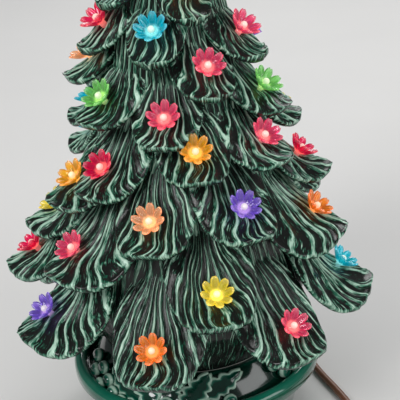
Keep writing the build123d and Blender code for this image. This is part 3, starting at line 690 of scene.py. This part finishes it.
def flower_mesh():
    """One flower light along Z: peg, collar, cup of petals and ball."""
    size = settings().flower_sizes
    bm = bmesh.new()
    glow = bm.verts.layers.float.new("glow")
    petal = add_grid(bm, 4, 10)
    inner = size.foot_r * 0.55
    for vert in petal:
        across, along = vert.co.x, 1 - ((1 - vert.co.y) / 2) ** 1.7
        width = PETAL_FOOT + PETAL_MORE * math.sin(math.pi * min(along, PETAL_WIDE) / (2 * PETAL_WIDE))
        if along > PETAL_WIDE:
            width *= math.sqrt(max(0.05, 1 - ((along - PETAL_WIDE) / 0.245) ** 2))
        out = inner + (size.radius - inner) * along ** 0.9
        rise = size.lift + PETAL_LIFT + size.height * (0.15 * along + 0.85 * along ** 1.7)
        cupped = PETAL_CUP * across * across * math.sin(math.pi * min(1, along * 0.9))
        vert.co = (across * width, out - cupped * 0.5, rise + cupped)
        vert[glow] = 1 - along
    bmesh.ops.recalc_face_normals(bm, faces=bm.faces)
    bmesh.ops.solidify(bm, geom=list(bm.faces), thickness=size.petal_wall)
    step = 2 * math.pi / size.petals
    bmesh.ops.spin(
        bm, geom=[*bm.verts, *bm.edges, *bm.faces], cent=(0, 0, 0), axis=(0, 0, 1),
        dvec=(0, 0, 0), angle=step * (size.petals - 1), steps=size.petals - 1, use_duplicate=True,
    )
    bmesh.ops.recalc_face_normals(bm, faces=bm.faces)
    cup = bmesh.ops.create_cone(
        bm, cap_ends=True, segments=16, radius1=size.foot_r, radius2=size.foot_r * 1.25,
        depth=size.foot_height, matrix=Matrix.Translation((0, 0, size.lift + 0.0002)),
    )["verts"]
    peg = bmesh.ops.create_cone(
        bm, cap_ends=True, segments=12, radius1=size.peg_r, radius2=size.peg_r,
        depth=size.peg_length + size.lift,
        matrix=Matrix.Translation((0, 0, (size.lift - size.peg_length) / 2)),
    )["verts"]
    for vert in cup + peg:
        vert[glow] = 1.0
    ball = bmesh.ops.create_icosphere(
        bm, subdivisions=3, radius=size.ball_r,
        matrix=Matrix.Translation((0, 0, size.lift + size.ball_lift)),
    )["verts"]
    for face in {face for vert in ball for face in vert.link_faces}:
        face.material_index = 1
    return mesh_of("flower_light", bm)


class CERAMIC_OT_flowers(bpy.types.Operator):
    """Model the plug-in flower lights, one piece for each colour"""
    bl_idname = "ceramic.flowers"
    bl_label = "Flower Lights"

    def execute(self, context):
        template = flower_mesh()
        for name, places in LIGHTS.items():
            bm = bmesh.new()
            for index, place in enumerate(places):
                copy = template.copy()
                copy.transform(light_matrix(place) @ Matrix.Rotation(FLOWER_TURN * index, 4, "Z"))
                bm.from_mesh(copy)
                bpy.data.meshes.remove(copy)
            materials = [flower_plastic(name), ball_plastic(name)]
            finish_piece("flowers_" + name, bm, "tree", ["lights_" + name], materials)
        bpy.data.meshes.remove(template)
        return {"FINISHED"}


class CERAMIC_OT_star(bpy.types.Operator):
    """Finish the star on the spire"""
    bl_idname = "ceramic.star"
    bl_label = "Star"

    def execute(self, context):
        material, graph = new_material(
            "star_plastic", 0.08, IOR=1.49, Transmission_Weight=0.35, Emission_Strength=0.35,
            Coat_Weight=0.4,
        )
        noise = grain_bump(graph, 220.0, 0.15, 0.0003)
        stops = ((0.3, (0.85, 0.50, 0.03)), (0.7, (0.98, 0.72, 0.12)))
        ramp_into(graph, noise, stops, "Base Color", "Emission Color")
        dress(material, "star_topper")
        return {"FINISHED"}


def mound_spot(azimuth, share, lift):
    """Point over the mound at a share of its slope and a lift off it."""
    size = settings().base_sizes
    slope = math.atan2(size.groove_r - size.mound_r, size.seat_z - size.groove_z)
    radius = size.groove_r + share * (size.mound_r - size.groove_r) + lift * math.cos(slope)
    height = size.groove_z + share * (size.seat_z - size.groove_z) + lift * math.sin(slope)
    return around(azimuth, radius, height)


# Steps of the dish's profile and around it
MOUND_STEPS, ROLL_STEPS, FLARE_STEPS, DISH_STEPS = 8, 14, 8, 160


def dish_profile():
    """Profile of the dish from the lip outwards and back underneath: radius, height, edge tone."""
    size = settings().base_sizes
    inner, lip_z = size.rim_r - size.roll_r, size.seat_z + size.lip_height
    under_z = size.groove_z - size.wall
    # Negative tones on the seat, mound and groove darken them: painted shade under the tree.
    profile = [
        (size.lip_r - size.lip_width, size.seat_z, 0), (size.lip_r - size.lip_width, lip_z, 0.1),
        (size.lip_r, lip_z, 0.1), (size.lip_r, size.seat_z, 0),
        (size.mound_r - 0.001, size.seat_z, -0.1), (size.mound_r + 0.0005, size.seat_z - 0.001, -0.05),
    ]
    for step in range(1, MOUND_STEPS):
        share = step / MOUND_STEPS
        spot = mound_spot(0, 1 - share, size.mound_bulge * math.sin(math.pi * share))
        profile.append((-spot.y, spot.z, -0.12))
    profile += [(size.groove_r, size.groove_z + 0.0006, -0.12), (inner - 0.0008, size.groove_z, -0.08)]
    for step in range(ROLL_STEPS + 1):
        angle = math.pi - step * math.pi / ROLL_STEPS
        out, up = size.roll_r * math.cos(angle), size.roll_r * math.sin(angle)
        profile.append((size.rim_r + out, size.rim_z + up, 0.08 + 0.20 * math.sin(angle)))
    flare_r, flare_z = size.rim_r + size.roll_r, size.rim_z - size.roll_r
    for step in range(FLARE_STEPS + 1):
        share = step / FLARE_STEPS
        radius = flare_r + (size.foot_r - flare_r) * share - size.flare_sag * math.sin(math.pi * share)
        profile.append((radius, flare_z * (1 - share), 0.10 * (1 - share)))
    profile += [
        (size.foot_r - size.foot_width, 0, 0), (inner - size.wall, under_z, 0),
        (size.groove_r - size.wall, under_z, 0), (size.mound_r - size.wall, size.seat_z - size.wall, 0),
        (size.bore_r, size.seat_z - size.wall, 0), (size.bore_r, size.seat_z, 0),
    ]
    return profile


class CERAMIC_OT_dish(bpy.types.Operator):
    """Spin the dish base with its rolled rim, mound, seat and hollow"""
    bl_idname = "ceramic.dish"
    bl_label = "Dish"

    def execute(self, context):
        bm = bmesh.new()
        edge_and_shade_layer = bm.verts.layers.float.new("edge")
        ring = []
        for radius, height, tone in dish_profile():
            vert = bm.verts.new((0, -radius, height))
            vert[edge_and_shade_layer] = tone
            ring.append(vert)
        edges = [bm.edges.new(pair) for pair in zip(ring, ring[1:] + ring[:1])]
        bmesh.ops.spin(
            bm, geom=ring + edges, cent=(0, 0, 0), axis=(0, 0, 1), dvec=(0, 0, 0),
            angle=2 * math.pi, steps=DISH_STEPS, use_merge=True,
        )
        bmesh.ops.remove_doubles(bm, verts=bm.verts, dist=0.00001)
        bmesh.ops.recalc_face_normals(bm, faces=bm.faces)
        glaze = emerald_glaze("emerald_glaze")
        dish = finish_piece("dish_base", bm, "base_body", ["base"], [glaze])
        dish.data.set_sharp_from_angle(angle=math.radians(50))
        return {"FINISHED"}


# Holly clusters, with the turns of a cluster's outer leaves in degrees
HOLLY_CLUSTERS, HOLLY_AZIMUTH, HOLLY_SPREAD, HOLLY_LEAN = 3, -16, 27, 62
# Leaves of a cluster: share of the spread, share of the mound's slope at the middle
LEAVES = ((-1, 0.42), (-0.5, 0.5), (0, 0.42), (0.5, 0.5), (1, 0.6))
# Leaf grid, lift off the mound, curl of the edge, vein depth, lift of every other leaf
LEAF_GRID, LEAF_LIFT, LEAF_CURL, LEAF_VEIN, LEAF_OVER = (28, 8), 0.0022, 0.0016, 0.0003, 0.0007
# Berries of a cluster: turn from its middle in degrees, share of the mound's slope
BERRIES = (
    (-58, 0.62), (-53, 0.30), (-47, 0.52), (-44, 0.10), (-39, 0.34), (-33, 0.12), (-26, 0.02),
    (-8, 0.06), (-1, 0.24), (5, 0.02), (12, 0.10), (24, 0.04), (31, 0.2),
)
# Height from which the berries face outwards, and the depth of the dimple
BERRY_FROM_Z, BERRY_DIMPLE = 0.03, 0.0006


def holly_leaf(bm, layer, azimuth, lean, middle, over):
    """One spined leaf on the mound, its rib raised and its edge pale."""
    size = settings().base_sizes
    slope = math.hypot(size.groove_r - size.mound_r, size.seat_z - size.groove_z)
    made = add_grid(bm, *LEAF_GRID)
    for vert in made:
        along, across = vert.co.x, vert.co.y
        side = abs(across)
        spines = 0.62 + 0.38 * abs(math.cos(2.5 * math.pi * along)) ** 1.4
        half = size.leaf_width / 2 * math.cos(along * math.pi / 2) ** 0.75 * spines
        a, b = along * size.leaf_length / 2, across * half
        up = a * math.cos(lean) - b * math.sin(lean)
        level = a * math.sin(lean) + b * math.cos(lean)
        share = middle + up / slope * 0.78
        radius = size.groove_r + share * (size.mound_r - size.groove_r)
        turn = azimuth + math.degrees(level / radius)
        rib = size.leaf_rib * (1 - side) ** 0.6
        vein = LEAF_VEIN * math.cos(along * 22 + 5 * side) * side * (1 - side)
        vert.co = mound_spot(turn, share, LEAF_LIFT + rib + vein + LEAF_CURL * across ** 4 + over)
        vert[layer] = float(smooth(0.5, 0.92, side)) - 0.02
    faces = list({face for vert in made for face in vert.link_faces})
    faces[0].normal_update()
    if faces[0].normal.dot(mound_spot(azimuth, 0.5, 1.0) - mound_spot(azimuth, 0.5, 0.0)) < 0:
        bmesh.ops.reverse_faces(bm, faces=faces)


def holly_berry(bm, layer, azimuth, share):
    """One dimpled berry with a pale ring."""
    size = settings().base_sizes
    spot = mound_spot(azimuth, share, size.berry_lift)
    made = bmesh.ops.create_icosphere(
        bm, subdivisions=3, radius=size.berry_r, matrix=Matrix.Translation(spot)
    )["verts"]
    out = (spot - Vector((0, 0, BERRY_FROM_Z))).normalized()
    for vert in made:
        facing = (vert.co - spot).normalized().dot(out)
        vert[layer] = 1.15 * max(0, 1 - abs(facing - 0.25) * 1.7) - 0.05
        if facing > 0.93:
            vert.co -= out * BERRY_DIMPLE


class CERAMIC_OT_holly(bpy.types.Operator):
    """Model the holly leaves and berries on the mound"""
    bl_idname = "ceramic.holly"
    bl_label = "Holly"

    def execute(self, context):
        leaves, berries = bmesh.new(), bmesh.new()
        leaf_edge = leaves.verts.layers.float.new("edge")
        berry_edge = berries.verts.layers.float.new("edge")
        for cluster in range(HOLLY_CLUSTERS):
            middle = HOLLY_AZIMUTH + cluster * 360 / HOLLY_CLUSTERS
            for index, (share, place) in enumerate(LEAVES):
                azimuth, lean = middle + share * HOLLY_SPREAD, math.radians(share * HOLLY_LEAN)
                holly_leaf(leaves, leaf_edge, azimuth, lean, place, LEAF_OVER * (index % 2))
            for turn, share in BERRIES:
                holly_berry(berries, berry_edge, middle + turn, share)
        bmesh.ops.solidify(leaves, geom=list(leaves.faces), thickness=settings().base_sizes.leaf_wall)
        glaze = emerald_glaze("holly_glaze", 0.75)
        finish_piece("holly_leaves", leaves, "base_body", (), [glaze])
        finish_piece("holly_berries", berries, "base_body", (), [glaze])
        return {"FINISHED"}


# Spread and depth of the grain on brown mouldings
MOULDED = (0.2, 0.00008)
# Finishes of the frame's nodes: name, colour, roughness, metal, grain scale, nodes last
FITTINGS = (
    ("brass", (0.72, 0.53, 0.22), 0.28, 1.0, 250,
     ("nipple", "screw_shell", "centre_contact", "bulb_cap", "plug_blades")),
    ("zinc_plate", (0.60, 0.61, 0.63), 0.33, 1.0, 300,
     ("washers", "locknuts", "switch_screw")),
    ("black_phenolic", (0.025, 0.024, 0.023), 0.45, 0.0, 500,
     ("lamp_holder", "cord_bushing")),
    ("red_fibre", (0.33, 0.12, 0.07), 0.8, 0.0, 700, ("insulator_disc",)),
    ("solder", (0.55, 0.56, 0.58), 0.4, 1.0, 200, ("bulb_tip",)),
    ("drawn_wire", (0.35, 0.35, 0.37), 0.4, 1.0, 900, ("bulb_filament",)),
    ("brown_moulding", (0.13, 0.052, 0.028), 0.38, 0.0, 900, *MOULDED,
     ("switch_base", "switch_cover", "plug_body")),
    ("brown_wheel", (0.19, 0.09, 0.05), 0.42, 0.0, 900, *MOULDED, ("switch_wheel",)),
    ("tie_band", (0.02, 0.02, 0.021), 0.55, 0.0, 1200, ("coil_tie",)),
    ("inner_vinyl", (0.15, 0.062, 0.035), 0.42, 0.0, 800, ("inner_lead",)),
)


class CERAMIC_OT_lamp(bpy.types.Operator):
    """Finish the lamp fittings, bulb, switch and plug of the frame"""
    bl_idname = "ceramic.lamp"
    bl_label = "Lamp"

    def execute(self, context):
        for *finish, names in FITTINGS:
            dress(plain_finish(*finish), *names)
        glass = plain_finish(
            "clear_glass", (0.97, 0.97, 0.95), 0.02, 0.0, 60, 0.04, 0.00001, IOR=1.5,
            Transmission_Weight=1.0,
        )
        dress(glass, "bulb_glass", "bulb_stem")
        return {"FINISHED"}


# Routes of the cord, as given in the frame's source, in millimetres
LEAD_ROUTE = (
    (-48.18, 68.81, 10.0), (-61.373, 87.649, 10.0), (-58.2, 110.4, 6.6), (-40.3, 124.9, 3.4),
    (-17.4, 123.3, 3.4),
)
FREE_ROUTE = (
    (40.459, 119.257, 3.4), (60.41, 117.864, 3.4), (78.2, 105.0, 2.8), (87.2, 82.7, 2.8),
    (86.2, 54.7, 2.8), (83.5, 25.0, 2.8), (103.5, -27.0, 2.8), (109.0, -52.0, 3.0),
    (111.0, -75.0, 3.4), (111.0, -94.0, 3.4),
)
# Half turns of each layer of the coil, and its points per half turn
COIL_HALF_TURNS, COIL_POINTS = 7, 12


def coil_points():
    """Control points of the coil's turns: in below, one climb, and out above."""
    size = settings().cord_sizes
    start = Vector(FREE_ROUTE[-1]) * MM - Vector((0, 2 * size.radius, 0))
    centre = start + Vector((size.coil_r, 0, 0))
    radii = [size.coil_r - index * size.coil_step for index in range(COIL_HALF_TURNS)]
    radii.append(radii[-1] - size.climb_step)
    stops = [(radius, 0.0) for radius in radii]
    stops += [(radius, size.coil_layer) for radius in reversed(radii)]
    points = []
    for index, (first, last) in enumerate(zip(stops, stops[1:])):
        for step in range(COIL_POINTS):
            share = (step + 0.5) / COIL_POINTS
            angle = math.pi * (index + share)
            ease = share * share * (3 - 2 * share) if first[1] != last[1] else share
            radius = (first[0] + (last[0] - first[0]) * ease) / math.cos(math.pi / COIL_POINTS / 2)
            height = first[1] + (last[1] - first[1]) * ease
            spoke = Vector((-math.cos(angle), -math.sin(angle), 0))
            points.append(centre + spoke * radius + Vector((0, 0, height)))
    end = centre + Vector((size.coil_r, 0, size.coil_layer))
    return points, end


def cord_curve(name, points, material):
    """Smooth round cord along its route's points."""
    curve = bpy.data.curves.new(name, "CURVE")
    curve.dimensions = "3D"
    curve.bevel_depth = settings().cord_sizes.radius
    curve.bevel_resolution = 5
    curve.resolution_u = 6
    curve.use_fill_caps = True
    spline = curve.splines.new("NURBS")
    spline.points.add(len(points) - 1)
    for point, place in zip(spline.points, points):
        point.co = (*place, 1)
    spline.order_u = 3
    spline.use_endpoint_u = True
    curve.materials.append(material)
    cord = add_object(name, curve)
    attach(cord, "base_body")
    return cord


class CERAMIC_OT_cord(bpy.types.Operator):
    """Lay the brown lamp cord from the bushing to the switch, the coil and the plug"""
    bl_idname = "ceramic.cord"
    bl_label = "Cord"

    def execute(self, context):
        size = settings().cord_sizes
        vinyl = plain_finish("brown_vinyl", (0.21, 0.085, 0.045), 0.40, 0.0, 700, 0.2, 0.00006)
        lead_points = [Vector(point) * MM for point in LEAD_ROUTE]
        lead = cord_curve("lead_cord", lead_points, vinyl)
        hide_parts("cord_lead")
        turns, coil_end = coil_points()
        free_points = [Vector(point) * MM for point in FREE_ROUTE] + turns
        free_points += [coil_end + Vector((0, share * size.coil_tail, 0)) for share in (0.5, 1)]
        free = cord_curve("free_cord", free_points, vinyl)
        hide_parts("cord_free", "cord_coil")
        return {"FINISHED"}


# Half side of the floor, the world's strength and what mirrors see less of it
FLOOR_HALF, WORLD_STRENGTH, MIRROR_LESS = 6, 0.55, 0.40
WORLD_COLOUR = (0.80, 0.82, 0.85, 1)
# Soft lamps: name, place, power, width; all face the middle of the tree
LAMPS = (
    ("key", (-0.9, -1.1, 1.3), 16, 0.7), ("fill", (1.2, -0.7, 0.8), 7, 0.9),
    ("back", (0.3, 1.2, 1.2), 9, 0.8),
)
LAMP_AIM = (0, 0, 0.2)
# Camera: lens and sensor in millimetres, turn in degrees
CAMERA_PLACE, CAMERA_AIM = (0, -0.7259, 0.4983), (0.0103, -0.0026, 0.1564)
CAMERA_LENS, CAMERA_SENSOR, CAMERA_TURN = 105.9, 36, -4.06


def facing(place, aim):
    """Turn that points a lamp or the camera at a place."""
    return (Vector(aim) - Vector(place)).to_track_quat("-Z", "Y")


class CERAMIC_OT_stage(bpy.types.Operator):
    """Set the pale floor, the soft lights and the camera"""
    bl_idname = "ceramic.stage"
    bl_label = "Stage"

    def execute(self, context):
        scene = context.scene
        bm = bmesh.new()
        bmesh.ops.create_grid(bm, x_segments=1, y_segments=1, size=FLOOR_HALF)
        mesh = mesh_of("floor", bm)
        pale = tuple(settings().glaze_colours.floor)
        mesh.materials.append(plain_finish("pale_floor", pale, 0.7, 0.0, 6, 0.03, 0.0001))
        floor = add_object("floor", mesh)
        world = bpy.data.worlds.new("studio")
        world.use_nodes = True
        graph = world.node_tree
        sky = graph.nodes["Background"]
        sky.inputs["Color"].default_value = WORLD_COLOUR
        mirror = new_node(graph, "LightPath").outputs["Is Glossy Ray"]
        dim = math_node(graph, "MULTIPLY_ADD", mirror, -MIRROR_LESS, WORLD_STRENGTH)
        graph.links.new(dim, sky.inputs["Strength"])
        scene.world = world
        for name, place, power, width in LAMPS:
            light = bpy.data.lights.new(name, "AREA")
            light.energy = power
            light.size = width
            lamp = add_object(name, light)
            lamp.location = place
            lamp.rotation_euler = facing(place, LAMP_AIM).to_euler()
        data = bpy.data.cameras.new("camera")
        data.lens = CAMERA_LENS
        data.sensor_width = CAMERA_SENSOR
        camera = add_object("camera", data)
        turn = facing(CAMERA_PLACE, CAMERA_AIM).to_matrix().to_4x4()
        roll = Matrix.Rotation(math.radians(CAMERA_TURN), 4, "Z")
        camera.matrix_world = Matrix.Translation(CAMERA_PLACE) @ turn @ roll
        scene.camera = camera
        scene.view_settings.view_transform = "Standard"
        return {"FINISHED"}


OPERATORS = (
    CERAMIC_OT_cord, CERAMIC_OT_stage, CERAMIC_OT_branches, CERAMIC_OT_trunk, CERAMIC_OT_flowers,
    CERAMIC_OT_star, CERAMIC_OT_dish, CERAMIC_OT_holly, CERAMIC_OT_lamp,
)
GROUP_TYPES = {
    "tree_sizes": TreeSizes, "flower_sizes": FlowerSizes, "base_sizes": BaseSizes,
    "cord_sizes": CordSizes, "glaze_colours": GlazeColours,
}


class CERAMIC_PT_panel(bpy.types.Panel):
    """Sizes, colours and steps of the ceramic tree"""
    bl_idname = "CERAMIC_PT_panel"
    bl_label = "Ceramic Tree"
    bl_space_type = "VIEW_3D"
    bl_region_type = "UI"
    bl_category = "Ceramic Tree"

    def draw(self, context):
        for operator in OPERATORS:
            self.layout.operator(operator.bl_idname)
        for name in GROUP_TYPES:
            box = self.layout.box()
            group = getattr(context.scene, name)
            for item in group.__annotations__:
                box.prop(group, item)


def register():
    for name, group in GROUP_TYPES.items():
        bpy.utils.register_class(group)
        setattr(bpy.types.Scene, name, PointerProperty(type=group))
    for operator in OPERATORS:
        bpy.utils.register_class(operator)
    bpy.utils.register_class(CERAMIC_PT_panel)


def unregister():
    bpy.utils.unregister_class(CERAMIC_PT_panel)
    for operator in reversed(OPERATORS):
        bpy.utils.unregister_class(operator)
    for name, group in GROUP_TYPES.items():
        delattr(bpy.types.Scene, name)
        bpy.utils.unregister_class(group)


def main():
    register()
    for operator in OPERATORS:
        getattr(bpy.ops.ceramic, operator.bl_idname.split(".")[1])()


if __name__ == "__main__":
    main()
